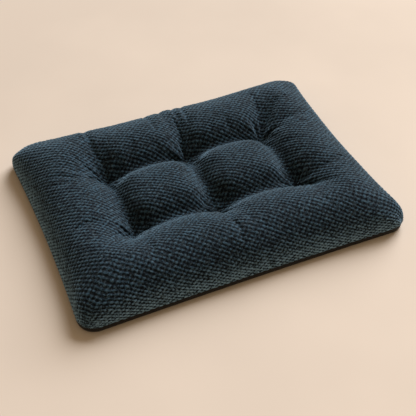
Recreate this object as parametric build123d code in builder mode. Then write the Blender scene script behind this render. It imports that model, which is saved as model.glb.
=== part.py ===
from build123d import *
import os

# Tufted pet cushion bed: a plush top sewn to a shallow non-slip base tray, filled and tied in six places.
# Origin at the middle of the underside. +X runs along the length, +Y across the width, +Z up. Millimetres.

# Driving sizes of the finished bed
LENGTH = 610.0  # base tray along X, before its corners are rounded
WIDTH = 457.0  # base tray along Y, before its corners are rounded
HEIGHT = 61.0  # crest of the plush top above the floor
SHORT_SIDE_PULL = 7.0  # how far the middle of a short side is drawn in
LONG_SIDE_PULL = 3.0  # how far the middle of a long side is drawn in
CORNER_RADIUS = 34.0

# Base tray: one cloth, its rim turned up and then in, where it is sewn to the top
BASE_CLOTH = 1.2
RIM_HEIGHT = 13.0  # floor to the seam
SEAM_FLANGE = 8.0
BOTTOM_EDGE_RADIUS = 3.0

# Plush top cover and what it holds
PLUSH = 2.4
COVER_OVERHANG = 2.0  # the stuffed top stands this far outside the tray
TOP_EDGE_RADIUS = 34.0
FOAM_TOP = 10.6
LAYER_GAP = 0.1  # between layers that only lie on each other

# Tufts: two rows of three
TUFT_PITCH_X = 157.0
TUFT_PITCH_Y = 146.0
TUFT_FLOOR = 20.0  # top of the cover at the foot of a tuft well
WELL_FOOT_RADIUS = 5.0
WELL_MOUTH_RADIUS = 76.0
WELL_WALL_LEAN = 12.0  # how far the well wall moves out in its steep lower part
WELL_STEEP_SHARE = 0.55  # share of the well's depth that is steep
WELL_FOOT_SLOPE = (0.25, 1)  # the wall's direction at the foot
WELL_MOUTH_SLOPE = (1, 0.12)  # the wall's direction at the mouth

# Tufting twine and the felt washers under the base
TWINE_RADIUS = 0.7
STITCH_SPAN = 7.0  # between the two legs of one tie
LEG_HOLE_RADIUS = 0.9
LEG_HOLE_LENGTH = 244.0  # long enough to go right through the bed
POCKET_DEPTH = 4.0  # the tie draws the base up by this much
POCKET_MOUTH_RADIUS = 17.0
POCKET_ROOF_RADIUS = 9.0
WASHER_RADIUS = 7.0
WASHER_THICKNESS = 1.0
WASHER_CHAMFER = 0.2
SEAM_THREAD_RADIUS = 0.4

TUFT_PLACES = GridLocations(TUFT_PITCH_X, TUFT_PITCH_Y, 3, 2)
LEG_OFFSETS = ((-STITCH_SPAN / 2, 0), (STITCH_SPAN / 2, 0))


def pull_radius(half_side: float, pull: float) -> float:
    """Radius of the arc that draws a side of that half length in by the pull at its middle."""
    return (half_side**2 + pull**2) / (2 * pull)


def outline(grow: float) -> Sketch:
    """The bed's outline in plan: four sides drawn in as shallow arcs, with round corners."""
    short_radius = pull_radius(WIDTH / 2, SHORT_SIDE_PULL)
    long_radius = pull_radius(LENGTH / 2, LONG_SIDE_PULL)
    short_centre = LENGTH / 2 - SHORT_SIDE_PULL + short_radius
    long_centre = WIDTH / 2 - LONG_SIDE_PULL + long_radius
    with BuildSketch() as plan:
        Rectangle(LENGTH + WIDTH, LENGTH + WIDTH)
        with Locations((short_centre, 0), (-short_centre, 0)):
            Circle(short_radius - grow, mode=Mode.SUBTRACT)
        with Locations((0, long_centre), (0, -long_centre)):
            Circle(long_radius - grow, mode=Mode.SUBTRACT)
        fillet(plan.vertices(), CORNER_RADIUS + grow)
    return plan.sketch


def well_cutter(skin: float) -> Part:
    """One tuft well as a solid to cut with. A skin makes it cut the stuffing that far under the plush."""
    foot = (WELL_FOOT_RADIUS + skin, TUFT_FLOOR - skin)
    shoulder = (foot[0] + WELL_WALL_LEAN, foot[1] + (HEIGHT - TUFT_FLOOR) * WELL_STEEP_SHARE)
    mouth = (WELL_MOUTH_RADIUS + skin, HEIGHT - skin)
    with BuildPart(mode=Mode.PRIVATE) as cutter:
        with BuildSketch(Plane.XZ):
            with BuildLine():
                Line((0, foot[1]), foot)
                Spline(foot, shoulder, mouth, tangents=(WELL_FOOT_SLOPE, WELL_MOUTH_SLOPE))
                Line(mouth, (mouth[0], HEIGHT + PLUSH))
                Line((mouth[0], HEIGHT + PLUSH), (0, HEIGHT + PLUSH))
                Line((0, HEIGHT + PLUSH), (0, foot[1]))
            make_face()
        revolve(axis=Axis.Z)
    return cutter.part


def stuffed_body(skin: float) -> Part:
    """The stuffed top as a solid, its surface drawn in by the skin, with a well at each tuft."""
    bottom = RIM_HEIGHT + skin
    with BuildPart(mode=Mode.PRIVATE) as body:
        with BuildSketch(Plane.XY.offset(bottom)):
            add(outline(COVER_OVERHANG - skin))
        extrude(amount=HEIGHT - skin - bottom)
        fillet(body.faces().sort_by(Axis.Z)[-1].edges(), TOP_EDGE_RADIUS - skin)
        with TUFT_PLACES:
            add(well_cutter(skin), mode=Mode.SUBTRACT)
    return body.part


def pocket(sink: float) -> Part:
    """The hollow under one tuft, where the tie draws the base cloth up. Sink is the cloth above it."""
    with BuildPart(mode=Mode.PRIVATE) as hollow:
        Cone(
            POCKET_MOUTH_RADIUS + sink,
            POCKET_ROOF_RADIUS + sink,
            POCKET_DEPTH,
            align=(Align.CENTER, Align.CENTER, Align.MIN),
        )
    return hollow.part.moved(Location((0, 0, sink)))


def leg_holes() -> None:
    """Cuts the holes that the legs of all six ties pass through in the part being built."""
    with TUFT_PLACES:
        with Locations(*LEG_OFFSETS):
            Cylinder(LEG_HOLE_RADIUS, LEG_HOLE_LENGTH, mode=Mode.SUBTRACT)


def tray_block(grow: float, bottom: float, top: float) -> Part:
    """A slab with the base's outline and a pocket under each tuft."""
    with BuildPart(mode=Mode.PRIVATE) as block:
        with BuildSketch(Plane.XY.offset(bottom)):
            add(outline(grow))
        extrude(amount=top - bottom)
        fillet(block.faces().sort_by(Axis.Z)[0].edges(), BOTTOM_EDGE_RADIUS + grow)
        with TUFT_PLACES:
            add(pocket(bottom), mode=Mode.SUBTRACT)
    return block.part


os.makedirs("parts", exist_ok=True)

# Base cloth: floor, turned-up rim and the flange that the seam goes through
with BuildPart() as base_cloth:
    add(tray_block(0, 0, RIM_HEIGHT))
    add(tray_block(-BASE_CLOTH, BASE_CLOTH, RIM_HEIGHT - BASE_CLOTH), mode=Mode.SUBTRACT)
    with BuildSketch(Plane.XY.offset(RIM_HEIGHT - BASE_CLOTH)):
        add(outline(-SEAM_FLANGE))
    extrude(amount=BASE_CLOTH, mode=Mode.SUBTRACT)
    leg_holes()
base_cloth.part.label = "base_cloth"
export_step(base_cloth.part, "parts/base_cloth.step")

# Foam sheet that keeps the base flat and its rim square
with BuildPart() as base_foam:
    add(tray_block(-BASE_CLOTH - LAYER_GAP, BASE_CLOTH + LAYER_GAP, FOAM_TOP))
    leg_holes()
base_foam.part.label = "base_foam"
export_step(base_foam.part, "parts/base_foam.step")

# Loose fibre: the stuffed body under the plush, and the plug that fills the seam opening down to the foam
fill_skin = PLUSH + LAYER_GAP
with BuildPart() as fibre_fill:
    add(stuffed_body(fill_skin))
    with BuildSketch(Plane.XY.offset(FOAM_TOP + LAYER_GAP)):
        add(outline(-SEAM_FLANGE - LAYER_GAP))
    extrude(amount=RIM_HEIGHT + fill_skin - FOAM_TOP)
    leg_holes()
fibre_fill.part.label = "fibre_fill"
export_step(fibre_fill.part, "parts/fibre_fill.step")

# Plush cover, with its lower edge turned in over the tray's flange
with BuildPart() as plush_cover:
    add(stuffed_body(0))
    add(stuffed_body(PLUSH), mode=Mode.SUBTRACT)
    with BuildSketch(Plane.XY.offset(RIM_HEIGHT)):
        add(outline(-SEAM_FLANGE))
    extrude(amount=PLUSH, mode=Mode.SUBTRACT)
    leg_holes()
plush_cover.part.label = "plush_cover"
export_step(plush_cover.part, "parts/plush_cover.step")

# Seam thread: the line of stitching that lies under the tray's flange
stitch_line = RIM_HEIGHT - BASE_CLOTH - SEAM_THREAD_RADIUS
with BuildPart() as seam_thread:
    for grow, mode in ((0.0, Mode.ADD), (-2 * SEAM_THREAD_RADIUS, Mode.SUBTRACT)):
        with BuildSketch(Plane.XY.offset(stitch_line - SEAM_THREAD_RADIUS)):
            add(outline(grow - SEAM_FLANGE / 2))
        extrude(amount=2 * SEAM_THREAD_RADIUS, mode=mode)
seam_thread.part.label = "seam_thread"
export_step(seam_thread.part, "parts/seam_thread.step")

# Ties and washers: a closed loop of twine through the whole pad, and the felt disc that it pulls against
tie_top = TUFT_FLOOR + TWINE_RADIUS + LAYER_GAP
washer_bottom = POCKET_DEPTH - WASHER_THICKNESS
tie_bottom = washer_bottom - TWINE_RADIUS - LAYER_GAP
for number, place in enumerate(TUFT_PLACES, start=1):
    with BuildPart() as tie:
        with BuildLine(Plane.XZ) as loop:
            FilletPolyline(
                (STITCH_SPAN / 2, tie_bottom),
                (STITCH_SPAN / 2, tie_top),
                (-STITCH_SPAN / 2, tie_top),
                (-STITCH_SPAN / 2, tie_bottom),
                radius=2 * TWINE_RADIUS,
                close=True,
            )
        with BuildSketch(Plane(origin=loop.wire() @ 0, z_dir=loop.wire() % 0)):
            Circle(TWINE_RADIUS)
        sweep(path=loop.wire())
    tuft_tie = tie.part.moved(place)
    tuft_tie.label = f"tuft_tie_{number}"
    export_step(tuft_tie, f"parts/tuft_tie_{number}.step")

    with BuildPart() as washer:
        with BuildSketch(Plane.XY.offset(washer_bottom)):
            Circle(WASHER_RADIUS)
            with Locations(*LEG_OFFSETS):
                Circle(LEG_HOLE_RADIUS, mode=Mode.SUBTRACT)
        extrude(amount=WASHER_THICKNESS)
        chamfer(washer.edges().filter_by(GeomType.CIRCLE).sort_by(SortBy.RADIUS)[-2:], WASHER_CHAMFER)
    tuft_washer = washer.part.moved(place)
    tuft_washer.label = f"tuft_washer_{number}"
    export_step(tuft_washer, f"parts/tuft_washer_{number}.step")
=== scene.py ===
"""Tufted pet cushion bed: popcorn plush, stuffed and tied down in six places, on a shallow dark base."""

import logging
import math
from dataclasses import dataclass, field, replace
from enum import Enum

import bmesh
import bpy
import numpy as np
from mathutils import Matrix, Vector


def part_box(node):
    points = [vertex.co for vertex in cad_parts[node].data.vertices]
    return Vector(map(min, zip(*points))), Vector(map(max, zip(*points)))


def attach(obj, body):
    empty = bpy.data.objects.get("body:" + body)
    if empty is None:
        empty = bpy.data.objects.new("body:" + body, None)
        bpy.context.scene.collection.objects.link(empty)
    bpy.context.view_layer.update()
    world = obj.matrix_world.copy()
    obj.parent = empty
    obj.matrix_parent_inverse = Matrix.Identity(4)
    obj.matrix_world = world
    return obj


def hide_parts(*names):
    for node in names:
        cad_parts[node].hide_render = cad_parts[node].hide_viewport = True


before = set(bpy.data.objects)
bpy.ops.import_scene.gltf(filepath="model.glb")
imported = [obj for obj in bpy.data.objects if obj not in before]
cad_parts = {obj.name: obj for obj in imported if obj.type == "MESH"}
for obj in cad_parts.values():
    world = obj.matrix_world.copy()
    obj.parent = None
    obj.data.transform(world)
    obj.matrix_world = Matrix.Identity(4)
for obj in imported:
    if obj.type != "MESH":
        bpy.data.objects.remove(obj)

log = logging.getLogger("cushion")
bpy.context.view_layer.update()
MM = 0.001
# The least radius of a corner, and the grid place past which a vertex is on the square grid's edge.
LEAST_RADIUS = 1e-9
GRID_EDGE = 1.0 - 1e-6
# Ties up to this many times as far apart as the nearest two are neighbours.
NEIGHBOURS = 1.2
# Waves per metre, in radians, of the rows' drift from straight.
DRIFT_WAVES = (61.0, 37.0, 53.0)
# Unrelated numbers that scramble a nub's row numbers into a chance from 0 to 1.
CHANCE_ROWS = np.array([12.9898, 78.233])
CHANCE_SCALE = 43758.5453
Points = np.ndarray
Pair = tuple[float, float]
Triple = tuple[float, float, float]
Socket = bpy.types.NodeSocket
Look = tuple[Socket, Socket, Socket]


class Slot(Enum):
    """Material slots of the record."""

    PLUSH = "plush"
    BASE = "base_cloth"
    FOAM = "foam"
    FIBRE = "fibre"
    THREAD = "thread"
    FELT = "felt"


def smooth_step(value: Points) -> Points:
    """Eases a value from 0 to 1, held at 0 below it and at 1 above."""
    held = np.clip(value, 0.0, 1.0)
    return held * held * (3.0 - 2.0 * held)


def read_rows(items: bpy.types.bpy_prop_collection, what: str) -> Points:
    """Reads x, y and z from each item of a mesh's data.

    Args:
        items: the items, such as vertices.
        what: the property to read.

    Returns:
        One row of x, y and z for each item.
    """
    flat = np.empty(len(items) * 3)
    items.foreach_get(what, flat)
    return flat.reshape(-1, 3)


def read_points(mesh: bpy.types.Mesh) -> Points:
    """Reads where a mesh's vertices are."""
    return read_rows(mesh.vertices, "co")


def read_normals(mesh: bpy.types.Mesh) -> Points:
    """Reads which way a mesh's surface faces at each vertex."""
    return read_rows(mesh.vertex_normals, "vector")


def write_points(mesh: bpy.types.Mesh, points: Points) -> None:
    """Moves a mesh's vertices to the rows of x, y and z."""
    mesh.vertices.foreach_set("co", points.ravel())
    mesh.update()


def add_object(name: str, mesh: bpy.types.Mesh) -> bpy.types.Object:
    """Links a new object for a mesh, shaded smooth.

    Args:
        name: the object's name.
        mesh: its mesh, already in place.

    Returns:
        The object, unturned and unscaled at the origin.
    """
    mesh.name = name
    mesh.shade_smooth()
    made = bpy.data.objects.new(name, mesh)
    bpy.context.scene.collection.objects.link(made)
    return made


def apply_modifiers(thing: bpy.types.Object) -> None:
    """Bakes an object's modifiers into its mesh and removes them.

    Args:
        thing: the object to finish.
    """
    graph = bpy.context.evaluated_depsgraph_get()
    finished = bpy.data.meshes.new_from_object(thing.evaluated_get(graph))
    old = thing.data
    thing.modifiers.clear()
    thing.data = finished
    bpy.data.meshes.remove(old)


def add_group(thing: bpy.types.Object, name: str, weights: Points) -> None:
    """Adds a vertex group of every vertex whose weight is above 0.

    Args:
        thing: the object.
        name: the group's name.
        weights: one weight for each vertex.
    """
    group = thing.vertex_groups.new(name=name)
    for index in np.flatnonzero(weights > 0.0):
        group.add([int(index)], float(weights[index]), "REPLACE")


def new_sheet(cells: tuple[int, int], half: float = 1.0) -> bmesh.types.BMesh:
    """Starts a flat square grid.

    Args:
        cells: how many cells it has along X and Y.
        half: middle to edge.

    Returns:
        The grid, ready to be worked.
    """
    sheet = bmesh.new()
    bmesh.ops.create_grid(sheet, x_segments=cells[0], y_segments=cells[1], size=half)
    return sheet


def store(shell: bmesh.types.BMesh, mesh: bpy.types.Mesh) -> bpy.types.Mesh:
    """Writes a worked shape into a mesh and frees it.

    Args:
        shell: the worked shape.
        mesh: the mesh that takes it.

    Returns:
        The same mesh.
    """
    shell.to_mesh(mesh)
    shell.free()
    return mesh


def open_edges(shell: bmesh.types.BMesh) -> list[bmesh.types.BMEdge]:
    """The edges that have a face on one side only."""
    return [edge for edge in shell.edges if edge.is_boundary]


def extend(
    shell: bmesh.types.BMesh, rim: list[bmesh.types.BMEdge]
) -> tuple[list[bmesh.types.BMEdge], list[bmesh.types.BMVert]]:
    """Adds one ring of faces at an open rim.

    Args:
        shell: the worked shape.
        rim: the rim's edges.

    Returns:
        The new rim's edges and its vertices, which still have to be moved off the old rim.
    """
    turned = bmesh.ops.extrude_edge_only(shell, edges=rim)["geom"]
    rim = [part for part in turned if isinstance(part, bmesh.types.BMEdge) and part.is_boundary]
    return rim, list({vertex for edge in rim for vertex in edge.verts})


def close_rim(shell: bmesh.types.BMesh, rim: list[bmesh.types.BMEdge]) -> None:
    """Fills an open rim and turns every face outwards."""
    bmesh.ops.edgeloop_fill(shell, edges=rim)
    bmesh.ops.recalc_face_normals(shell, faces=shell.faces)


@dataclass(frozen=True)
class Fold:
    """How cloth on one half of the bed turns over the crown's edge and down to the seam.

    Attributes:
        half: seam to middle in plan.
        depth: plan width of the rounded edge.
        run: length of cloth over the rounded edge.
        bulge: how far the rounded edge swells out past the seam.
        ease: how much rounder the corners are halfway round the edge.
    """

    half: float
    depth: float
    run: float
    bulge: float = 0.0
    ease: float = 0.0

    @property
    def cloth(self) -> float:
        """Length of cloth from the middle to the seam."""
        return self.half - self.depth + self.run

    def place(self, share: Points) -> tuple[Points, Points]:
        """Lays cloth over the fold.

        Args:
            share: how far along the cloth each point is, 0 at the middle and 1 at the seam.

        Returns:
            The distance from the middle in plan, and the height as a share of the crown's.
        """
        from_seam = (1.0 - share) * self.cloth
        turn = np.clip(from_seam / self.run, 0.0, 1.0) * math.pi / 2
        over_edge = self.half - self.depth * (1.0 - np.cos(turn))
        flat_cloth = max(self.cloth - self.run, MM)
        on_top = (self.half - self.depth) * (self.cloth - from_seam) / flat_cloth
        return np.where(from_seam < self.run, over_edge, on_top), np.sin(turn)

    def swell(self, share: Points) -> Points:
        """How full the edge is at each share of the way to the seam, 1 halfway round it."""
        turn = np.clip((1.0 - share) * self.cloth / self.run, 0.0, 1.0) * math.pi / 2
        return np.sin(2.0 * turn)


@dataclass(frozen=True)
class Outline:
    """The bed in plan: four sides drawn in at their middles, and round corners.

    Attributes:
        half_length: middle to corner along X, before the corners are rounded.
        half_width: middle to corner along Y, before the corners are rounded.
        radius: corner radius.
        short_pull: how far the middle of a short side is drawn in.
        long_pull: how far the middle of a long side is drawn in.
    """

    half_length: float
    half_width: float
    radius: float = 34 * MM
    short_pull: float = 7 * MM
    long_pull: float = 3 * MM

    @classmethod
    def within(cls, high: Vector) -> "Outline":
        """Makes the outline whose box reaches a high corner.

        Args:
            high: the highest corner of the piece that has this outline.

        Returns:
            The outline before its corners are rounded.
        """
        lost_x = cls.short_pull * (1.0 - (1.0 - cls.radius / high.y) ** 2)
        lost_y = cls.long_pull * (1.0 - (1.0 - cls.radius / high.x) ** 2)
        return cls(high.x + lost_x, high.y + lost_y)

    def grown(self, by: float) -> "Outline":
        """The outline moved outwards all round."""
        return replace(
            self,
            half_length=self.half_length + by,
            half_width=self.half_width + by,
            radius=self.radius + by,
        )

    def spread(self, across: Points, along: Points, fold_x: Fold, fold_y: Fold) -> Points:
        """Carries a square grid onto the bed's plan, ring by ring, with its corners rounded.

        Args:
            across: grid places from -1 to 1 along the length.
            along: grid places from -1 to 1 along the width.
            fold_x: how the cloth lies along the length.
            fold_y: how the cloth lies along the width.

        Returns:
            One row of x and y for each grid place.
        """
        ring = np.maximum(np.abs(across), np.abs(along))
        here_x, here_y = fold_x.place(np.abs(across))[0], fold_y.place(np.abs(along))[0]
        ring_x, ring_y = fold_x.place(ring)[0], fold_y.place(ring)[0]
        on_short = np.abs(across) >= np.abs(along)
        full = np.where(on_short, fold_x.swell(ring), fold_y.swell(ring))
        bend = self.radius * np.clip(2.0 * ring - 1.0, 0.0, 1.0) + fold_x.ease * full + LEAST_RADIUS
        turn_short = np.clip((here_y - ring_y + bend) / bend, 0.0, 1.0) * math.pi / 4
        turn_long = math.pi / 2 - np.clip((here_x - ring_x + bend) / bend, 0.0, 1.0) * math.pi / 4
        turn = np.where(on_short, turn_short, turn_long)
        straight = np.where(on_short, turn_short <= 0.0, turn_long >= math.pi / 2)
        side_x, side_y = np.where(on_short, ring_x, here_x), np.where(on_short, here_y, ring_y)
        x = np.where(straight, side_x, ring_x - bend * (1 - np.cos(turn)))
        y = np.where(straight, side_y, ring_y - bend * (1 - np.sin(turn)))
        out = fold_x.bulge * full * (1.0 + np.sin(2.0 * turn))
        x, y = x + out * np.cos(turn), y + out * np.sin(turn)
        share_x, share_y = x / fold_x.half, y / fold_y.half
        x = x - self.short_pull * np.clip(1.0 - share_y**2, 0.0, 1.0) * share_x**3
        y = y - self.long_pull * np.clip(1.0 - share_x**2, 0.0, 1.0) * share_y**3
        return np.stack([x * np.sign(across), y * np.sign(along)], -1)

    def flat(self, across: Points, along: Points) -> Points:
        """Carries a square grid onto the plan with next to no fold at the edge."""
        return self.spread(across, along, Fold(self.half_length, MM, MM), Fold(self.half_width, MM, MM))


@dataclass(frozen=True)
class Line:
    """A straight line in plan.

    Attributes:
        start: plan place of its first end.
        end: plan place of its other end.
    """

    start: Pair
    end: Pair

    def locate(self, plan: Points) -> tuple[Points, Points]:
        """Finds plan places by this line.

        Args:
            plan: plan places.

        Returns:
            How far along the line each is, 0 at the start and 1 at the end, and how far from it.
        """
        start, run = np.array(self.start), np.array(self.end) - np.array(self.start)
        share = np.clip((plan - start) @ run / (run @ run), 0.0, 1.0)
        return share, np.linalg.norm(plan - start - share[:, None] * run, axis=1)


@dataclass(frozen=True)
class Valley(Line):
    """A fold line that the cover dips to, between two ties or from a tie towards an edge.

    Attributes:
        low: floor height at the start.
        middle: floor height halfway.
        high: floor height at the end.
        width: how wide the dip is.
    """

    low: float
    middle: float
    high: float
    width: float

    def pull(self, plan: Points, height: Points) -> Points:
        """Draws a height field down to this fold line.

        Args:
            plan: plan places.
            height: the cover's height at each of them.

        Returns:
            The lowered heights.
        """
        share, reach = self.locate(plan)
        bow = 4.0 * (self.middle - 0.5 * (self.low + self.high)) * share * (1.0 - share)
        floor = self.low + (self.high - self.low) * share + bow
        return height - np.maximum(height - floor, 0.0) * np.exp(-((reach / self.width) ** 2))


@dataclass(frozen=True)
class Runout:
    """How a fold line runs out from a tie.

    Attributes:
        across: how far it runs along X.
        along: how far it runs along Y.
        fade: share of the way up to the crown that it has climbed halfway.
    """

    across: float
    along: float
    fade: float


@dataclass(frozen=True)
class Pleat(Line):
    """A short narrow crease in the stuffed cover, deepest at its middle.

    Attributes:
        depth: how deep it is.
        width: how wide it is.
    """

    depth: float = 3.5 * MM
    width: float = 5 * MM

    def moved(self, across: float, along: float) -> "Pleat":
        """The same crease, moved along X and Y."""
        ends = [(x + across, y + along) for x, y in (self.start, self.end)]
        return replace(self, start=ends[0], end=ends[1])

    def sink(self, plan: Points) -> Points:
        """How far each plan place sinks into this crease."""
        share, reach = self.locate(plan)
        return self.depth * np.sin(math.pi * share) * np.exp(-((reach / self.width) ** 2))


@dataclass(frozen=True)
class Gather:
    """Small folds that fan out from a tie.

    Attributes:
        folds: how many there are round a tie.
        depth: how far they sink and rise.
        radius: how far from the tie they are deepest.
        width: how far inwards and outwards they fade.
        turn: how far one tie's fan is turned from the last one's, in radians.
        uneven: how unevenly the folds are spaced, in radians.
    """

    folds: int = 9
    depth: float = 1 * MM
    radius: float = 24 * MM
    width: float = 14 * MM
    turn: float = 1.7
    uneven: float = 0.8

    def sink(self, plan: Points, number: int, place: Pair) -> Points:
        """Works out one tie's fan.

        Args:
            plan: plan places.
            number: the tie's number, from 0.
            place: the tie's plan place.

        Returns:
            The sink at each plan place, positive and negative by turns around the tie.
        """
        x, y = plan[:, 0] - place[0], plan[:, 1] - place[1]
        angle = np.arctan2(y, x)
        spacing = self.uneven * np.sin(2 * angle + number)
        fan = np.cos(self.folds * angle + self.turn * number + spacing)
        return self.depth * fan * np.exp(-(((np.hypot(x, y) - self.radius) / self.width) ** 2))


@dataclass(frozen=True)
class TuftGrid:
    """Where the ties go through the pad.

    Attributes:
        places: plan place of each tie.
        foot: height of the cover at the foot of a tuft well.
        back_run: how the fold lines run out behind the middle back tie.
        front_run: how they run out in front of the middle and right front ties.
        side_run: how they run out beside the right-hand ties.
        middle_pleats: creases behind the middle back tie, by their place from it.
        left_pleats: creases behind the left back tie, by their place from it.
        gathers: the small folds round a tie.
    """

    places: tuple[Pair, ...]
    foot: float
    back_run: Runout = Runout(22 * MM, 100 * MM, 0.55)
    front_run: Runout = Runout(40 * MM, -58 * MM, 0.7)
    side_run: Runout = Runout(72 * MM, 4 * MM, 0.74)
    middle_pleats: tuple[Pleat, ...] = (
        Pleat((-36 * MM, 55 * MM), (-38 * MM, 152 * MM)),
        Pleat((-8 * MM, 55 * MM), (-5 * MM, 152 * MM)),
        Pleat((16 * MM, 55 * MM), (24 * MM, 152 * MM)),
        Pleat((30 * MM, 55 * MM), (44 * MM, 152 * MM)),
    )
    left_pleats: tuple[Pleat, ...] = (Pleat((-4 * MM, 45 * MM), (-2 * MM, 150 * MM), 4.5 * MM, 6 * MM),)
    gathers: Gather = Gather()

    @classmethod
    def from_frame(cls) -> "TuftGrid":
        """Reads the ties' places from the frame."""
        boxes = [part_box(node) for node in sorted(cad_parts) if node.startswith("tuft_tie_")]
        middles = [(low + high) / 2 for low, high in boxes]
        twine = boxes[0][1].y - boxes[0][0].y
        return cls(tuple((m.x, m.y) for m in middles), boxes[0][1].z - twine)

    def inner_valleys(self, rise: float, width: float) -> list[Valley]:
        """The fold lines between neighbouring ties.

        Args:
            rise: how far a fold line's middle stands above the ties.
            width: how wide the dips are.

        Returns:
            One valley for each pair of neighbours.
        """
        step = min(math.dist(self.places[0], other) for other in self.places[1:]) * NEIGHBOURS
        return [
            Valley(a, b, self.foot, self.foot + rise, self.foot, width)
            for number, a in enumerate(self.places)
            for b in self.places[number + 1 :]
            if math.dist(a, b) < step
        ]

    def outer_valleys(self, crown: float, width: float) -> list[Valley]:
        """The shallow fold lines that run out from the ties and fade before the edges.

        Args:
            crown: height at which they fade out.
            width: how wide the dips are.

        Returns:
            The valleys: to the back, to the right and slanting forwards.
        """
        pitch = max(x for x, _ in self.places)
        found = []
        for x, y in self.places:
            runs = []
            if y > 0:
                runs.append(replace(self.back_run, across=self.back_run.across * (1 + x / pitch)))
            if y < 0 and x > -MM:
                runs.append(self.front_run)
            if x > MM:
                runs.append(self.side_run)
            for run in runs:
                end = (x + run.across, y + run.along)
                middle = self.foot + (crown - self.foot) * run.fade
                found.append(Valley((x, y), end, self.foot, middle, crown, width))
        return found

    def pleats(self) -> list[Pleat]:
        """The creases that the middle and left back ties gather at the back edge."""
        side, back = max(x for x, _ in self.places), max(y for _, y in self.places)
        behind_middle = [pleat.moved(0.0, back) for pleat in self.middle_pleats]
        return behind_middle + [pleat.moved(-side, back) for pleat in self.left_pleats]

    def gather(self, plan: Points) -> Points:
        """How far the cloth sinks in the small folds round every tie."""
        return sum(self.gathers.sink(plan, number, place) for number, place in enumerate(self.places))

    def reach(self, plan: Points) -> Points:
        """Distance from each plan place to every tie, one column for each tie."""
        return np.stack([np.hypot(plan[:, 0] - x, plan[:, 1] - y) for x, y in self.places], -1)


class Graph:
    """A short way to write a material's or a group's node tree."""

    def __init__(self, tree: bpy.types.NodeTree) -> None:
        """Keeps the tree that nodes are added to."""
        self.tree = tree

    def link(self, value: object, socket: Socket) -> None:
        """Links or sets one input.

        Args:
            value: a socket to link from, or a constant.
            socket: the input.
        """
        if isinstance(value, Socket):
            self.tree.links.new(value, socket)
        elif value is not None:
            socket.default_value = value

    def node(
        self, kind: str, inputs: dict[str | int, object] | None = None, **settings: object
    ) -> bpy.types.Node:
        """Adds one node.

        Args:
            kind: the node's type, without its ShaderNode prefix.
            inputs: values or sockets by input name or number.
            settings: the node's own properties.

        Returns:
            The node.
        """
        made = self.tree.nodes.new("ShaderNode" + kind)
        for name, value in settings.items():
            setattr(made, name, value)
        for key, value in (inputs or {}).items():
            self.link(value, made.inputs[key])
        return made

    def math(self, operation: str, *values: object) -> Socket:
        """Adds a Math node and gives its result."""
        return self.node("Math", dict(enumerate(values)), operation=operation).outputs[0]

    def noise(self, place: Socket, scale: object, detail: float = 2.0, roughness: float = 0.5) -> Socket:
        """Adds a Noise node and gives its value."""
        inputs = {"Vector": place, "Scale": scale, "Detail": detail, "Roughness": roughness}
        return self.node("TexNoise", inputs).outputs["Fac"]

    def ramp(self, value: Socket, stops: list[tuple[float, Triple]]) -> Socket:
        """Adds a colour ramp.

        Args:
            value: what drives it.
            stops: its places and colours, lowest first.

        Returns:
            The colour.
        """
        made = self.node("ValToRGB", {"Fac": value})
        elements = made.color_ramp.elements
        while len(elements) < len(stops):
            elements.new(0.5)
        for element, (place, colour) in zip(elements, stops):
            element.position = place
            element.color = (*colour, 1.0)
        return made.outputs["Color"]

    def mix(self, share: object, low: object, high: object, blend: str = "MIX") -> Socket:
        """Mixes two colours and gives the result."""
        made = self.node("Mix", data_type="RGBA", blend_type=blend)
        self.link(share, made.inputs[0])
        self.link(low, made.inputs[6])
        self.link(high, made.inputs[7])
        return made.outputs[2]

    def group(self, tree: bpy.types.NodeTree, inputs: dict[str, object]) -> bpy.types.Node:
        """Places a node group with its own values."""
        made = self.tree.nodes.new("ShaderNodeGroup")
        made.node_tree = tree
        for name, value in inputs.items():
            self.link(value, made.inputs[name])
        return made


def new_group(
    name: str, inputs: dict[str, str], outputs: dict[str, str]
) -> tuple[bpy.types.NodeTree, Graph]:
    """Starts a shader node group with named sockets.

    Args:
        name: the group's name.
        inputs: socket type by input name.
        outputs: socket type by output name.

    Returns:
        The group's tree and its graph.
    """
    tree = bpy.data.node_groups.new(name, "ShaderNodeTree")
    for label, kind in inputs.items():
        tree.interface.new_socket(label, in_out="INPUT", socket_type="NodeSocket" + kind)
    for label, kind in outputs.items():
        tree.interface.new_socket(label, in_out="OUTPUT", socket_type="NodeSocket" + kind)
    return tree, Graph(tree)


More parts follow.
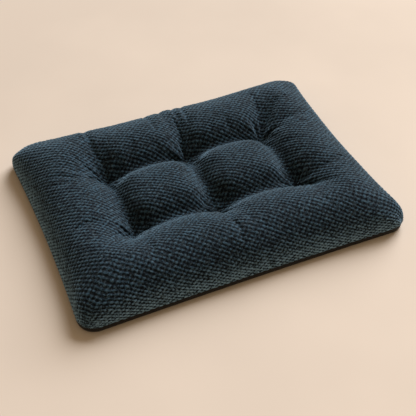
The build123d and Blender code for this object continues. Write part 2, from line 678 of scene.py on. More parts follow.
@dataclass
class Effects:
    """Node groups that several finishes use.

    Attributes:
        patches: scale of the uneven patches in a cloth's shade.
        patch_share: how much of the shade is patches, and not single fibres.
        loose: how much finer loose fibres are spread than standing ones.
        specks: noise at which a stray tip begins to show, and at which it shows in full.
        fuzz: short fibres that stand out of a cloth.
        weave: a plain weave.
    """

    patches: float = 38.0
    patch_share: float = 0.08
    loose: float = 1.17
    specks: Pair = (0.53, 0.7)
    fuzz: bpy.types.NodeTree = field(init=False)
    weave: bpy.types.NodeTree = field(init=False)

    def __post_init__(self) -> None:
        """Builds each group once."""
        self.fuzz = self.build_fuzz()
        self.weave = self.build_weave()

    def build_fuzz(self) -> bpy.types.NodeTree:
        """Short fibres that stand out of a cloth.

        Returns:
            A group that gives a height, a shade and a mask of stray pale tips, each between 0 and 1.
        """
        tree, graph = new_group(
            "standing fibres",
            {"Place": "Vector", "Fibres per metre": "Float"},
            {"Height": "Float", "Shade": "Float", "Speck": "Float"},
        )
        given, out = tree.nodes.new("NodeGroupInput"), tree.nodes.new("NodeGroupOutput")
        place, scale = given.outputs["Place"], given.outputs["Fibres per metre"]
        fine = graph.noise(place, scale, 3.0, 0.7)
        patch = graph.noise(place, self.patches)
        loose = graph.noise(place, graph.math("MULTIPLY", scale, self.loose), 1.0)
        single = graph.math("MULTIPLY", fine, 1.0 - self.patch_share)
        shade = graph.math("MULTIPLY_ADD", patch, self.patch_share, single)
        low, high = self.specks
        speck = graph.node("MapRange", {"Value": loose, "From Min": low, "From Max": high})
        graph.link(speck.outputs["Result"], out.inputs["Speck"])
        graph.link(fine, out.inputs["Height"])
        graph.link(shade, out.inputs["Shade"])
        return tree

    def build_weave(self) -> bpy.types.NodeTree:
        """A plain weave that crosses over and under on every face.

        Returns:
            A group that gives a height between 0 and 1.
        """
        tree, graph = new_group(
            "plain weave",
            {"Place": "Vector", "Threads per metre": "Float"},
            {"Height": "Float"},
        )
        given, out = tree.nodes.new("NodeGroupInput"), tree.nodes.new("NodeGroupOutput")
        axes = graph.node("SeparateXYZ", {0: given.outputs["Place"]})
        turn = graph.math("MULTIPLY", given.outputs["Threads per metre"], math.pi)
        warp_at = graph.math("ADD", axes.outputs["X"], axes.outputs["Y"])
        weft_at = graph.math("SUBTRACT", axes.outputs["X"], axes.outputs["Y"])
        weft_at = graph.math("ADD", weft_at, axes.outputs["Z"])
        warp = graph.math("ABSOLUTE", graph.math("SINE", graph.math("MULTIPLY", warp_at, turn)))
        weft = graph.math("ABSOLUTE", graph.math("SINE", graph.math("MULTIPLY", weft_at, turn)))
        graph.link(graph.math("MULTIPLY", warp, weft), out.inputs["Height"])
        return tree


@dataclass(frozen=True)
class Finish:
    """A cloth-like finish: what every material here has in common.

    Attributes:
        name: the material's name.
        roughness: lowest and highest roughness.
        sheen: weight of the sheen.
        sheen_roughness: how wide the sheen spreads.
        sheen_tint: the sheen's colour.
        bump: depth of the surface's own texture.
        gloss: how much the surface reflects straight on.
    """

    name: str
    roughness: Pair = (0.85, 1.0)
    sheen: float = 0.2
    sheen_roughness: float = 0.5
    sheen_tint: Triple = (1.0, 1.0, 1.0)
    bump: float = 0.4 * MM
    gloss: float = 0.2

    def surface(self, effects: Effects, graph: Graph, place: Socket) -> Look:
        """Colour, roughness mask and height. Each finish has its own."""
        raise NotImplementedError

    def build(self, effects: Effects) -> bpy.types.Material:
        """Makes the material.

        Args:
            effects: the shared node groups.

        Returns:
            The material.
        """
        made = bpy.data.materials.new(self.name)
        made.use_nodes = True
        graph = Graph(made.node_tree)
        shader = made.node_tree.nodes["Principled BSDF"]
        place = graph.node("TexCoord").outputs["Object"]
        colour, sheen_and_roughness_mask, height = self.surface(effects, graph, place)
        low, high = self.roughness
        rough = graph.node("MapRange", {"Value": sheen_and_roughness_mask, "To Min": low, "To Max": high}).outputs["Result"]
        bump = graph.node("Bump", {"Height": height, "Distance": self.bump, "Strength": 1.0})
        graph.link(colour, shader.inputs["Base Color"])
        graph.link(rough, shader.inputs["Roughness"])
        graph.link(bump.outputs["Normal"], shader.inputs["Normal"])
        shader.inputs["Sheen Weight"].default_value = self.sheen
        shader.inputs["Sheen Roughness"].default_value = self.sheen_roughness
        shader.inputs["Sheen Tint"].default_value = (*self.sheen_tint, 1.0)
        shader.inputs["Specular IOR Level"].default_value = self.gloss
        return made


@dataclass(frozen=True)
class PopcornPlush(Finish):
    """Blue-grey plush with raised nubs: painted highlight on the nubs' tops, painted shade between them,
    painted sheen near the seam.

    Attributes:
        gap: painted shade between the nubs.
        body: colour of the nubs' sides.
        tip: painted highlight on the nubs' tops.
        stray: colour of stray fibre tips.
        rim_sheen: painted sheen on the nubs' tops near the seam.
        stops: nub heights that have the gap's, the body's and the tip's colour.
        fibres: fibres per metre.
        shading: how much the fibres lighten and darken a nub.
        fringe_lift: how much lighter the nubs are drawn near the seam, as painted sheen.
        strays: how much the stray tips show, and how much more near the seam as painted sheen.
        sheen_and_roughness_mask: nub heights at which the painted sheen near the seam begins, and at which
            it is full.
    """

    gap: Triple = (0.001, 0.0022, 0.0034)
    body: Triple = (0.0024, 0.0078, 0.0145)
    tip: Triple = (0.04, 0.086, 0.126)
    stray: Triple = (0.15, 0.23, 0.28)
    rim_sheen: Triple = (0.21, 0.345, 0.46)
    stops: Triple = (0.36, 0.68, 1.02)
    fibres: float = 250.0
    shading: float = 2.0
    fringe_lift: float = 0.12
    strays: Pair = (0.25, 0.45)
    sheen_and_roughness_mask: Pair = (0.6, 1.1)

    def surface(self, effects: Effects, graph: Graph, place: Socket) -> Look:
        """Colours the nubs by their height, with painted shade between them, a painted highlight on their
        tops, loose pale fibres over them and painted sheen near the seam.

        Args:
            effects: the shared node groups.
            graph: the material's nodes.
            place: object coordinates.

        Returns:
            Colour, roughness mask and height.
        """
        nub = graph.node("Attribute", attribute_name="nub").outputs["Fac"]
        fringe = graph.node("Attribute", attribute_name="fringe").outputs["Fac"]
        fuzz = graph.group(effects.fuzz, {"Place": place, "Fibres per metre": self.fibres})
        uneven = graph.math("MULTIPLY_ADD", fuzz.outputs["Shade"], self.shading, -0.5 * self.shading)
        lifted = graph.math("ADD", nub, uneven)
        # Painted sheen: the nubs are drawn lighter near the seam.
        lifted = graph.math("MULTIPLY_ADD", fringe, self.fringe_lift, lifted)
        # Painted shade in the gaps between the nubs and a painted highlight on their tops, by nub height,
        # over the plush's own blue.
        colour = graph.ramp(lifted, list(zip(self.stops, (self.gap, self.body, self.tip))))
        # Stray pale fibre tips, shown more near the seam as painted sheen.
        shown = graph.math("MULTIPLY_ADD", fringe, self.strays[1], self.strays[0])
        stray = graph.math("MULTIPLY", fuzz.outputs["Speck"], shown)
        colour = graph.mix(stray, colour, (*self.stray, 1.0))
        # Painted sheen: the nubs' tops near the seam take a pale blue.
        low, high = self.sheen_and_roughness_mask
        sheen_and_roughness_mask = graph.node("MapRange", {"Value": lifted, "From Min": low, "From Max": high})
        rim_sheen = graph.math("MULTIPLY", fringe, sheen_and_roughness_mask.outputs["Result"])
        colour = graph.mix(rim_sheen, colour, (*self.rim_sheen, 1.0))
        return colour, fuzz.outputs["Shade"], fuzz.outputs["Height"]


@dataclass(frozen=True)
class PlainWeave(Finish):
    """A matt woven cloth with a little uneven dye.

    Attributes:
        dark: colour low in the weave.
        light: colour high in the weave.
        stops: shades that have the dark and the light colour.
        threads: threads per metre.
        fibres: fibres per metre.
        woven: how much of the shade is the weave.
        dyed: how much of the shade is the fibres.
        relief: how much of the height is the weave, and not the fibres.
    """

    dark: Triple = (0.006, 0.005, 0.0042)
    light: Triple = (0.015, 0.0125, 0.0105)
    stops: Pair = (0.2, 0.85)
    threads: float = 1100.0
    fibres: float = 1400.0
    woven: float = 0.5
    dyed: float = 0.6
    relief: float = 0.7

    def surface(self, effects: Effects, graph: Graph, place: Socket) -> Look:
        """Colours the threads by their height in the weave.

        Args:
            effects: the shared node groups.
            graph: the material's nodes.
            place: object coordinates.

        Returns:
            Colour, roughness mask and height.
        """
        woven = graph.group(effects.weave, {"Place": place, "Threads per metre": self.threads})
        weave = woven.outputs["Height"]
        fuzz = graph.group(effects.fuzz, {"Place": place, "Fibres per metre": self.fibres})
        dyed = graph.math("MULTIPLY", fuzz.outputs["Shade"], self.dyed)
        shade = graph.math("MULTIPLY_ADD", weave, self.woven, dyed)
        colour = graph.ramp(shade, list(zip(self.stops, (self.dark, self.light))))
        rough = graph.math("MULTIPLY", fuzz.outputs["Height"], 1.0 - self.relief)
        return colour, fuzz.outputs["Shade"], graph.math("MULTIPLY_ADD", weave, self.relief, rough)


@dataclass(frozen=True)
class LooseFibre(Finish):
    """Matted fibre: stuffing, felt or foam cells.

    Attributes:
        dark: colour of the deepest fibres.
        light: colour of the fibre tips.
        stops: shades that have the dark and the light colour.
        fibres: fibres per metre.
    """

    dark: Triple = (0.55, 0.55, 0.52)
    light: Triple = (0.86, 0.86, 0.83)
    stops: Pair = (0.25, 0.75)
    fibres: float = 500.0

    def surface(self, effects: Effects, graph: Graph, place: Socket) -> Look:
        """Colours the fibres by their shade.

        Args:
            effects: the shared node groups.
            graph: the material's nodes.
            place: object coordinates.

        Returns:
            Colour, roughness mask and height.
        """
        fuzz = graph.group(effects.fuzz, {"Place": place, "Fibres per metre": self.fibres})
        colour = graph.ramp(fuzz.outputs["Shade"], list(zip(self.stops, (self.dark, self.light))))
        return colour, fuzz.outputs["Shade"], fuzz.outputs["Height"]


@dataclass(frozen=True)
class TwistedThread(Finish):
    """Plied thread with slanted strands.

    Attributes:
        dark: colour between the strands.
        light: colour on top of the strands.
        stops: heights that have the dark and the light colour.
        strands: scale of the strands.
        wobble: how crooked the strands are.
        fibres: fibres per metre.
        relief: how much of the height is strands, and not fibres.
    """

    dark: Triple = (0.004, 0.006, 0.008)
    light: Triple = (0.022, 0.03, 0.038)
    stops: Pair = (0.15, 0.9)
    strands: float = 420.0
    wobble: float = 0.6
    fibres: float = 2500.0
    relief: float = 0.8

    def surface(self, effects: Effects, graph: Graph, place: Socket) -> Look:
        """Colours the strands by their height.

        Args:
            effects: the shared node groups.
            graph: the material's nodes.
            place: object coordinates.

        Returns:
            Colour, roughness mask and height.
        """
        twist = {"Vector": place, "Scale": self.strands, "Distortion": self.wobble}
        wave = graph.node("TexWave", twist, bands_direction="DIAGONAL")
        fuzz = graph.group(effects.fuzz, {"Place": place, "Fibres per metre": self.fibres})
        rough = graph.math("MULTIPLY", fuzz.outputs["Height"], 1.0 - self.relief)
        height = graph.math("MULTIPLY_ADD", wave.outputs["Fac"], self.relief, rough)
        colour = graph.ramp(height, list(zip(self.stops, (self.dark, self.light))))
        return colour, fuzz.outputs["Shade"], height


@dataclass
class Wardrobe:
    """Every finish on the bed, built once and kept by slot."""

    finishes: dict[Slot, Finish] = field(
        default_factory=lambda: {
            Slot.PLUSH: PopcornPlush(
                "popcorn plush",
                sheen=0.72,
                sheen_roughness=0.37,
                sheen_tint=(0.46, 0.72, 0.92),
                bump=1.0 * MM,
            ),
            Slot.BASE: PlainWeave("non-slip base cloth", roughness=(0.6, 0.85), sheen=0.08, bump=0.25 * MM),
            Slot.FOAM: LooseFibre(
                "polyurethane foam", dark=(0.5, 0.45, 0.3), light=(0.75, 0.7, 0.55), fibres=900.0
            ),
            Slot.FIBRE: LooseFibre("loose polyester fibre"),
            Slot.THREAD: TwistedThread("polyester twine", roughness=(0.6, 0.8), bump=0.1 * MM),
            Slot.FELT: LooseFibre(
                "pressed felt", dark=(0.006, 0.006, 0.007), light=(0.03, 0.03, 0.033), fibres=1600.0
            ),
        }
    )
    materials: dict[Slot, bpy.types.Material] = field(default_factory=dict)

    def build(self) -> None:
        """Makes each finish's material."""
        effects = Effects()
        self.materials = {slot: finish.build(effects) for slot, finish in self.finishes.items()}

    def dress(self, thing: bpy.types.Object, slot: Slot) -> None:
        """Gives an object one finish in place of those it has."""
        thing.data.materials.clear()
        thing.data.materials.append(self.materials[slot])

    def dress_cad(self, prefix: str, slot: Slot) -> None:
        """Gives the carried-over CAD nodes of one kind their finish."""
        for name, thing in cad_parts.items():
            if name.startswith(prefix):
                self.dress(thing, slot)


@dataclass(frozen=True)
class PopcornKnit:
    """The plush's nubs: slanting rows of small loops, each a little different from the next.

    Attributes:
        pitch: distance between nubs in line along the length and the width.
        turn: how far the rows are turned from the bed's sides, in degrees.
        row_share: how much of the relief is rows, and not the gaps along a row.
        height: how far a nub stands above the gaps.
        drift: how far the rows wander from straight.
        least: share of its full height that the lowest nub has.
        chance: how much of its height a nub has by chance.
        level: how high up a nub the cloth's own surface lies.
        ragged: how uneven the fibre tips are.
        seed: seed of the uneven tips.
    """

    pitch: Pair = (10.9 * MM, 8.0 * MM)
    turn: float = 3.5
    row_share: float = 0.6
    height: float = 2.5 * MM
    drift: float = 0.9 * MM
    least: float = 0.85
    chance: float = 0.2
    level: float = 0.7
    ragged: float = 0.16 * MM
    seed: int = 11

    def nubs(self, places: Points) -> tuple[Points, Points]:
        """Works out the nubs over the cloth.

        Args:
            places: places on the flat cloth.

        Returns:
            How high up a nub each place is, about 0 to 1, and how far it rises from the cloth.
        """
        x, y = places.T
        first, bent, second = DRIFT_WAVES
        wander = np.stack([np.sin(first * y + 1.3 * np.sin(bent * x)), np.sin(second * x + 2.1)], -1)
        angle = math.radians(self.turn)
        turned = np.array([[math.cos(angle), -math.sin(angle)], [math.sin(angle), math.cos(angle)]])
        cells = (places + self.drift * wander) @ turned / np.array(self.pitch)
        rows = np.stack([cells[:, 0] + cells[:, 1], cells[:, 0] - cells[:, 1]], -1)
        waves = np.cos(2 * math.pi * rows)
        relief = 0.5 + 0.5 * (self.row_share * waves[:, 0] + (1.0 - self.row_share) * waves[:, 1])
        chance = np.modf(np.abs(np.sin(np.rint(rows) @ CHANCE_ROWS)) * CHANCE_SCALE)[0]
        nub = np.sqrt(relief) * (self.least + self.chance * chance)
        tips = self.ragged * np.random.default_rng(self.seed).normal(size=len(nub))
        return nub, self.height * (nub - self.level) + tips


@dataclass(frozen=True)
class ClothNature:
    """How the plush behaves while it is stuffed: each field is the Cloth setting of that name."""

    quality: int = 6
    mass: float = 0.002
    tension_stiffness: float = 60.0
    compression_stiffness: float = 20.0
    shear_stiffness: float = 5.0
    bending_stiffness: float = 0.5
    air_damping: float = 2.0
    use_pressure: bool = True
    uniform_pressure_force: float = 100.0


@dataclass
class PlushCover:
    """The plush top: stuffed by a cloth simulation, tied down at the tufts, with its nubs raised.

    Attributes:
        seam: outline of the seam, just inside the tray.
        tufts: the ties.
        seam_height: height of the seam.
        lift: height of the slack cover above the seam, before it is stuffed.
        edge_depth: plan width of the rounded edge.
        edge_run: length of cloth over the rounded edge.
        edge_bulge: how far the rounded edge swells out past the seam.
        corner_ease: how much rounder the corners are halfway round the edge.
        cells: grid cells along the length and the width.
        fullness: share by which the cloth is cut larger over the stuffing.
        well_radius: how wide the slack cloth dips at a tie.
        valley_rise: how far the fold line between two ties rises above them.
        valley_width: how wide the slack cloth dips along a fold line.
        fringe: how far in from the seam the nubs take painted sheen.
        panel_ease: how much rounder the flat panel's corners are than the seam's.
        uv_room: side of the UV map's square, in half lengths of the cloth.
        tie_radius: how far round a tie the cloth is held.
        tight_edge: how far in from the seam the cloth is cut to size, with no fullness.
        tight_fade: how far in from there it takes to reach its full size.
        tight_fold: how wide the cloth is cut to size along a fold line.
        corner_reach: how far in from a corner the cloth is eased in full.
        corner_rounds: how many times it is eased.
        steps: steps of the simulation.
        turned_in: size of each ring of the underside as a share of the last one.
        turned_up: how far the underside is above the seam.
        nature: how the cloth behaves.
        knit: the nubs.
        stuffed: the stuffed shape before its nubs are raised.
    """

    seam: Outline
    tufts: TuftGrid
    seam_height: float
    lift: float = 44 * MM
    edge_depth: float = 78 * MM
    edge_run: float = 100 * MM
    edge_bulge: float = 5 * MM
    corner_ease: float = 13 * MM
    cells: tuple[int, int] = (140, 104)
    fullness: float = 0.025
    well_radius: float = 24 * MM
    valley_rise: float = 15 * MM
    valley_width: float = 22 * MM
    fringe: float = 62 * MM
    panel_ease: float = 1.3
    uv_room: float = 2.04
    tie_radius: float = 4.5 * MM
    tight_edge: float = 20 * MM
    tight_fade: float = 60 * MM
    tight_fold: float = 14 * MM
    corner_reach: float = 50 * MM
    corner_rounds: int = 10
    steps: int = 40
    turned_in: Triple = (0.975, 0.5, 0.02)
    turned_up: float = 0.4 * MM
    nature: ClothNature = ClothNature()
    knit: PopcornKnit = PopcornKnit()
    stuffed: bpy.types.Mesh | None = None

    @property
    def folds(self) -> tuple[Fold, Fold]:
        """The fold along the length and along the width."""
        edge = (self.edge_depth, self.edge_run, self.edge_bulge, self.corner_ease)
        return Fold(self.seam.half_length, *edge), Fold(self.seam.half_width, *edge)

    def cut(self) -> bpy.types.Mesh:
        """Cuts the plush as a flat square grid."""
        return store(new_sheet(self.cells), bpy.data.meshes.new("plush panel"))

    def cloth_places(self, grid: Points) -> Points:
        """Where each grid place lies on the flat cloth, in metres from its middle."""
        fold_x, fold_y = self.folds
        panel = Outline(fold_x.cloth, fold_y.cloth, self.seam.radius * self.panel_ease, 0.0, 0.0)
        return panel.flat(grid[:, 0], grid[:, 1])

    def slack_shape(self, grid: Points) -> Points:
        """The cover before it is stuffed: a low crown with a dip at each tie."""
        fold_x, fold_y = self.folds
        plan = self.seam.spread(grid[:, 0], grid[:, 1], fold_x, fold_y)
        down_x = 1.0 - fold_x.place(np.abs(grid[:, 0]))[1]
        down_y = 1.0 - fold_y.place(np.abs(grid[:, 1]))[1]
        down = np.clip(np.cbrt(down_x**3 + down_y**3), 0.0, 1.0)
        height = self.seam_height + self.lift * (1.0 - down)
        valleys = self.tufts.inner_valleys(self.valley_rise, self.valley_width)
        valleys += self.tufts.outer_valleys(self.seam_height + self.lift, self.valley_width)
        for valley in valleys:
            height = valley.pull(plan, height)
        for reach in self.tufts.reach(plan).T:
            height -= (height - self.tufts.foot) * np.exp(-((reach / self.well_radius) ** 2))
        return np.column_stack([plan, height])

    def stuff(self, cover: bpy.types.Object, grid: Points, shape: Points) -> None:
        """Inflates the cover while its seam and ties are held.

        Args:
            cover: the slack cover.
            grid: its square grid places.
            shape: its slack shape.
        """
        plan = shape[:, :2]
        on_seam = np.abs(grid).max(1) > GRID_EDGE
        tied = self.tufts.reach(plan).min(1) < self.tie_radius
        add_group(cover, "held", (on_seam | tied).astype(float))
        inside = np.array([self.seam.half_length, self.seam.half_width]) - np.abs(plan)
        tight = 1.0 - smooth_step((inside.min(1) - self.tight_edge) / self.tight_fade)
        flat = np.ones(len(shape))
        for valley in self.tufts.inner_valleys(0.0, self.tight_fold):
            tight = np.maximum(tight, 1.0 - valley.pull(plan, flat))
        add_group(cover, "rim", tight)
        corner = 1.0 - smooth_step((np.hypot(*inside.T) - self.corner_reach) / self.corner_reach)
        add_group(cover, "corner", np.where(on_seam, 0.0, corner))
        cloth = cover.modifiers.new("stuffing", "CLOTH")
        cloth.collision_settings.use_collision = False
        cloth.collision_settings.use_self_collision = False
        settings = cloth.settings
        for name, value in vars(self.nature).items():
            setattr(settings, name, value)
        settings.effector_weights.gravity = 0.0
        settings.vertex_group_mass = "held"
        settings.vertex_group_shrink = "rim"
        settings.shrink_min = -self.fullness
        settings.shrink_max = 0.0
        eased = cover.modifiers.new("eased corners", "SMOOTH")
        eased.vertex_group = "corner"
        eased.iterations = self.corner_rounds
        for step in range(1, self.steps + 1):
            bpy.context.scene.frame_set(step)
        apply_modifiers(cover)
        bpy.context.scene.frame_set(1)

    def crease(self, mesh: bpy.types.Mesh) -> None:
        """Sinks the pleats and the small folds round the ties into the stuffed cover.

        Args:
            mesh: the finely divided cover.
        """
        points = read_points(mesh)
        plan = points[:, :2]
        sink = self.tufts.gather(plan) + sum(pleat.sink(plan) for pleat in self.tufts.pleats())
        write_points(mesh, points - read_normals(mesh) * sink[:, None])

    def raise_nubs(self, cover: bpy.types.Object) -> None:
        """Raises the nubs along the cloth's normals and keeps their height for the finish.

        Args:
            cover: the finely divided cover, with its cloth places in the UV map.
        """
        mesh = cover.data
        places = self.vertex_cloth_places(mesh)
        nub, rise = self.knit.nubs(places)
        write_points(mesh, read_points(mesh) + read_normals(mesh) * rise[:, None])
        half = np.array([fold.cloth for fold in self.folds])
        # The fringe is 1 at the seam and fades inwards; the plush finish paints sheen near the seam with
        # it.
        fringe = 1.0 - smooth_step((half - np.abs(places)).min(1) / self.fringe)
        for name, value in (("nub", nub), ("fringe", fringe)):
            mesh.attributes.new(name, "FLOAT", "POINT").data.foreach_set("value", value.astype(np.float32))

    def vertex_cloth_places(self, mesh: bpy.types.Mesh) -> Points:
        """Reads each vertex's place on the flat cloth.

        Args:
            mesh: a mesh with the cloth UV map.

        Returns:
            One row of two places, in metres.
        """
        layer = mesh.uv_layers["OFBake"].data
        flat = np.empty(len(layer) * 2)
        layer.foreach_get("uv", flat)
        corner = np.empty(len(mesh.loops), dtype=np.int64)
        mesh.loops.foreach_get("vertex_index", corner)
        places = np.empty((len(mesh.vertices), 2))
        places[corner] = flat.reshape(-1, 2) - 0.5
        return places * self.cloth_span

    @property
    def cloth_span(self) -> float:
        """Width of cloth that the UV map's unit square stands for."""
        return self.uv_room * self.folds[0].cloth

    def lay_uv(self, mesh: bpy.types.Mesh, grid: Points) -> None:
        """Writes the cloth places as a UV map inside the unit square."""
        places = self.cloth_places(grid) / self.cloth_span + 0.5
        corner = np.empty(len(mesh.loops), dtype=np.int64)
        mesh.loops.foreach_get("vertex_index", corner)
        mesh.uv_layers.new(name="OFBake").data.foreach_set("uv", places[corner].ravel())

    def close(self, cover: bpy.types.Object) -> None:
        """Turns the lower edge in at the seam and closes the underside.

        Args:
            cover: the open cover.
        """
        shell = bmesh.new()
        shell.from_mesh(cover.data)
        rim = open_edges(shell)
        for share in self.turned_in:
            rim, corners = extend(shell, rim)
            for corner in corners:
                corner.co.x *= share
                corner.co.y *= share
                corner.co.z = self.seam_height + self.turned_up
        close_rim(shell, rim)
        store(shell, cover.data)

    def build(self) -> bpy.types.Object:
        """Cuts, stuffs and finishes the cover.

        Returns:
            The cover.
        """
        mesh = self.cut()
        grid = read_points(mesh)[:, :2]
        self.lay_uv(mesh, grid)
        shape = self.slack_shape(grid)
        write_points(mesh, shape)
        cover = add_object("plush_top", mesh)
        self.stuff(cover, grid, shape)
        finer = cover.modifiers.new("finer", "SUBSURF")
        finer.levels = finer.render_levels = 2
        apply_modifiers(cover)
        self.crease(cover.data)
        self.stuffed = cover.data.copy()
        self.raise_nubs(cover)
        self.close(cover)
        cover.data.shade_smooth()
        return cover


@dataclass
class BaseTray:
    """The dark base: a cloth floor with pockets under the ties, a turned-up rim and a sewn flange.

    Attributes:
        outline: the rim's outline.
        tufts: the ties.
        height: height of the rim.
        cells: grid cells along the length and the width.
        cloth: thickness of the cloth.
        clearance: height of the floor's lower face.
        inset: how far inside the rim the floor ends.
        pocket_depth: how far a tie draws the floor up.
        pocket_radius: how far round a tie it is drawn up.
    """

    outline: Outline
    tufts: TuftGrid
    height: float
    cells: tuple[int, int] = (96, 72)
    cloth: float = 1.2 * MM
    clearance: float = 0.5 * MM
    inset: float = 3 * MM
    pocket_depth: float = 3.6 * MM
    pocket_radius: float = 13 * MM

    def rings(self) -> list[Pair]:
        """Outward growth and height of each ring up the rim and in to the flange."""
        top = self.height - 0.3 * MM
        return [
            (-0.9 * MM, self.clearance + 0.9 * MM),
            (0.0, self.clearance + 3 * MM),
            (0.2 * MM, self.height * 0.5),
            (0.0, top - 1.5 * MM),
            (-0.8 * MM, top - 0.3 * MM),
            (-2.5 * MM, top),
            (-8 * MM, top),
        ]

    def build(self) -> bpy.types.Object:
        """Builds the tray.

        Returns:
            The tray, as a closed cloth wall.
        """
        tray = new_sheet(self.cells)
        marks = [tray.verts.layers.float.new(name) for name in ("across", "along")]
        for corner in tray.verts:
            corner[marks[0]], corner[marks[1]] = corner.co.x, corner.co.y
        rim = open_edges(tray)
        self.place(list(tray.verts), marks, -self.inset, self.clearance)
        for growth, height in self.rings():
            rim, corners = extend(tray, rim)
            self.place(corners, marks, growth, height)
        for corner in tray.verts:
            self.lift_pocket(corner)
        bmesh.ops.recalc_face_normals(tray, faces=tray.faces)
        low = min(tray.faces, key=lambda face: face.calc_center_median().z)
        if low.normal.z > 0:
            bmesh.ops.reverse_faces(tray, faces=tray.faces)
        bmesh.ops.solidify(tray, geom=tray.faces[:], thickness=self.cloth)
        return add_object("base_tray", store(tray, bpy.data.meshes.new("base tray")))

    def place(self, corners: list, marks: list, growth: float, height: float) -> None:
        """Puts vertices on the outline's plan at one growth and height.

        Args:
            corners: the vertices.
            marks: the layers that hold their grid places.
            growth: how far outside the outline.
            height: their height.
        """
        grid = np.array([[v[marks[0]], v[marks[1]]] for v in corners])
        plan = self.outline.grown(growth).flat(grid[:, 0], grid[:, 1])
        for corner, (x, y) in zip(corners, plan):
            corner.co = (x, y, height)

    def lift_pocket(self, corner: bmesh.types.BMVert) -> None:
        """Draws the floor up where a tie pulls on it."""
        if corner.co.z > self.clearance + MM / 2:
            return
        reach = min(math.hypot(corner.co.x - x, corner.co.y - y) for x, y in self.tufts.places)
        corner.co.z += self.pocket_depth * math.exp(-((reach / self.pocket_radius) ** 4))


@dataclass
class Slab:
    """A plain soft layer with the bed's outline, such as the foam sheet."""

    name: str
    outline: Outline
    low: float
    high: float
    cells: tuple[int, int] = (64, 48)

    def build(self) -> bpy.types.Object:
        """Builds the slab from a grid, thickened upwards.

        Returns:
            The slab.
        """
        sheet = new_sheet(self.cells)
        grid = np.array([v.co.to_tuple()[:2] for v in sheet.verts])
        plan = self.outline.flat(grid[:, 0], grid[:, 1])
        for corner, (x, y) in zip(sheet.verts, plan):
            corner.co = (x, y, self.low)
        lifted = bmesh.ops.extrude_face_region(sheet, geom=sheet.faces[:])["geom"]
        top = [v for v in lifted if isinstance(v, bmesh.types.BMVert)]
        bmesh.ops.translate(sheet, verts=top, vec=(0.0, 0.0, self.high - self.low))
        bmesh.ops.recalc_face_normals(sheet, faces=sheet.faces)
        return add_object(self.name, store(sheet, bpy.data.meshes.new(self.name)))


@dataclass
class Stuffing:
    """The loose fibre: it fills the cover and stays just under the plush.

    Attributes:
        cover: the cover that it fills.
        depth: how far under the plush it stays.
        turned_in: size of its underside as a share of its outline.
        kept: share of the cover's triangles that it keeps.
    """

    cover: PlushCover
    depth: float = 3.2 * MM
    turned_in: float = 0.96
    kept: float = 0.12

    def build(self) -> bpy.types.Object:
        """Builds the stuffing from the stuffed cover's own shape.

        Returns:
            The stuffing.
        """
        mesh = self.cover.stuffed
        write_points(mesh, read_points(mesh) - read_normals(mesh) * self.depth)
        fill = bmesh.new()
        fill.from_mesh(mesh)
        rim, corners = extend(fill, open_edges(fill))
        for corner in corners:
            corner.co.x *= self.turned_in
            corner.co.y *= self.turned_in
            corner.co.z = self.cover.seam_height + MM
        close_rim(fill, rim)
        filling = add_object("stuffing", store(fill, mesh))
        thin = filling.modifiers.new("coarser", "DECIMATE")
        thin.ratio = self.kept
        apply_modifiers(filling)
        return filling


@dataclass(frozen=True)
class Viewpoint:
    """The camera, by where it looks and from which side.

    Attributes:
        target: the place that it looks at.
        azimuth: how far to the right of the front it stands, in degrees.
        elevation: how far it looks down, in degrees.
        roll: how far it is turned about its own line of sight, in degrees.
        distance: how far from the target it stands.
        lens: focal length in millimetres.
        sensor: width of its sensor in millimetres.
        farthest: how far it sees.
    """

    target: Triple = (-0.0039, -0.0385, 0.0)
    azimuth: float = -24.4
    elevation: float = 44.4
    roll: float = 0.72
    distance: float = 1.51
    lens: float = 71.4
    sensor: float = 36.0
    farthest: float = 50.0

    def build(self) -> None:
        """Makes the camera and gives it to the scene."""
        turn, rise = math.radians(self.azimuth), math.radians(self.elevation)
        back = Vector((math.sin(turn) * math.cos(rise), -math.cos(turn) * math.cos(rise), math.sin(rise)))
        camera = bpy.data.objects.new("camera", bpy.data.cameras.new("camera"))
        camera.data.lens = self.lens
        camera.data.sensor_width = self.sensor
        camera.data.clip_end = self.farthest
        camera.location = Vector(self.target) + back * self.distance
        facing = (-back).to_track_quat("-Z", "Y").to_matrix().to_4x4()
        camera.rotation_euler = (facing @ Matrix.Rotation(math.radians(self.roll), 4, "Z")).to_euler()
        bpy.context.scene.collection.objects.link(camera)
        bpy.context.scene.camera = camera


@dataclass(frozen=True)
class SoftBox:
    """A square soft light that faces the bed."""

    name: str
    place: Triple
    side: float
    power: float
    colour: Triple

    def build(self) -> None:
        """Makes the light."""
        lamp = bpy.data.lights.new(self.name, "AREA")
        lamp.size = self.side
        lamp.energy = self.power
        lamp.color = self.colour
        thing = bpy.data.objects.new(self.name, lamp)
        thing.location = self.place
        thing.rotation_euler = (-Vector(self.place)).to_track_quat("-Z", "Y").to_euler()
        bpy.context.scene.collection.objects.link(thing)


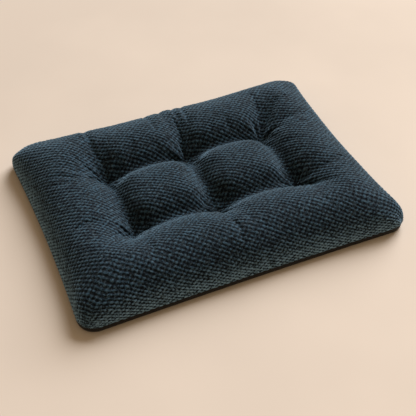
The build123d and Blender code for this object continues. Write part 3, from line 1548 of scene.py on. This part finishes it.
@dataclass(frozen=True)
class Studio:
    """The pale floor with painted shade, the surrounding light and the lamps.

    Attributes:
        floor_side: length of the floor's side.
        floor_colour: the floor's colour where it is lightest.
        floor_dark: its darkest colour, reached by mottling and painted shade, as a share of the lightest.
        painted_light_slope: painted light falloff: how much lighter the floor is painted in a metre along X
            and along Y.
        floor_mottle: scale of its mottling.
        surround: colour of the surrounding light.
        surround_power: its strength.
        lights: the lamps.
    """

    floor_side: float = 30.0
    floor_colour: Triple = (0.86, 0.74, 0.62)
    floor_dark: float = 0.84
    painted_light_slope: Pair = (0.3, -0.65)
    floor_mottle: float = 3.0
    surround: Triple = (1.0, 0.76, 0.5)
    surround_power: float = 0.29
    lights: tuple[SoftBox, ...] = (SoftBox("key", (9.4, 7.2, 7.6), 9.5, 3250.0, (0.94, 0.955, 1.0)),)

    def build(self) -> None:
        """Builds the floor, the world and the lamps."""
        slab = new_sheet((1, 1), self.floor_side / 2)
        floor = add_object("floor", store(slab, bpy.data.meshes.new("floor")))
        floor.data.materials.append(self.floor_finish())
        world = bpy.data.worlds.new("studio")
        world.use_nodes = True
        backdrop = world.node_tree.nodes["Background"]
        backdrop.inputs["Color"].default_value = (*self.surround, 1.0)
        backdrop.inputs["Strength"].default_value = self.surround_power
        bpy.context.scene.world = world
        bpy.context.scene.view_settings.view_transform = "Standard"
        for light in self.lights:
            light.build()

    def floor_finish(self) -> bpy.types.Material:
        """Makes the floor's matt, faintly mottled paint, with painted shade that darkens it towards the
        back and the left.
        """
        made = bpy.data.materials.new("pale floor")
        made.use_nodes = True
        graph = Graph(made.node_tree)
        shader = made.node_tree.nodes["Principled BSDF"]
        place = graph.node("TexCoord").outputs["Object"]
        axes = graph.node("SeparateXYZ", {0: place}).outputs
        mottle = graph.noise(place, self.floor_mottle, 3.0)
        # Painted shade: the floor is drawn darker towards the back and the left, on top of the mottling.
        shade = graph.math("MULTIPLY_ADD", axes["Y"], self.painted_light_slope[1], mottle)
        shade = graph.math("MULTIPLY_ADD", axes["X"], self.painted_light_slope[0], shade)
        darker = tuple(self.floor_dark * value for value in self.floor_colour)
        colour = graph.ramp(shade, [(0.0, darker), (1.0, self.floor_colour)])
        graph.link(colour, shader.inputs["Base Color"])
        shader.inputs["Roughness"].default_value = 0.9
        shader.inputs["Specular IOR Level"].default_value = 0.1
        return made


@dataclass
class CushionBed:
    """The whole bed."""

    wardrobe: Wardrobe = field(default_factory=Wardrobe)

    def finish_piece(self, thing: bpy.types.Object, slot: Slot, *nodes: str) -> None:
        """Dresses a piece, lets it ride on the bed and names the CAD nodes that it stands for.

        Args:
            thing: the piece.
            slot: its material slot.
            nodes: the CAD nodes that it replaces.
        """
        self.wardrobe.dress(thing, slot)
        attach(thing, "root")
        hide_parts(*nodes)
        log.info("%s: %d vertices for %s", thing.name, len(thing.data.vertices), ", ".join(nodes))

    def build(self) -> None:
        """Builds every piece in order."""
        self.wardrobe.build()
        tufts = TuftGrid.from_frame()
        tray_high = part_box("base_cloth")[1]
        outline = Outline.within(tray_high)
        cover = PlushCover(outline.grown(1 * MM), tufts, tray_high.z)
        top = cover.build()
        self.finish_piece(top, Slot.PLUSH, "plush_cover")
        filling = Stuffing(cover).build()
        self.finish_piece(filling, Slot.FIBRE, "fibre_fill")
        foam_low, foam_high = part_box("base_foam")
        foam = Slab("foam_sheet", outline.grown(-2 * MM), foam_low.z + 3 * MM, foam_high.z).build()
        self.finish_piece(foam, Slot.FOAM, "base_foam")
        tray = BaseTray(outline, tufts, tray_high.z).build()
        self.finish_piece(tray, Slot.BASE, "base_cloth")
        self.wardrobe.dress_cad("seam_thread", Slot.THREAD)
        self.wardrobe.dress_cad("tuft_tie_", Slot.THREAD)
        self.wardrobe.dress_cad("tuft_washer_", Slot.FELT)


def main() -> None:
    """Builds the studio, the camera and the bed."""
    logging.basicConfig(level=logging.INFO, format="%(message)s")
    Studio().build()
    Viewpoint().build()
    CushionBed().build()


if __name__ == "__main__":
    main()
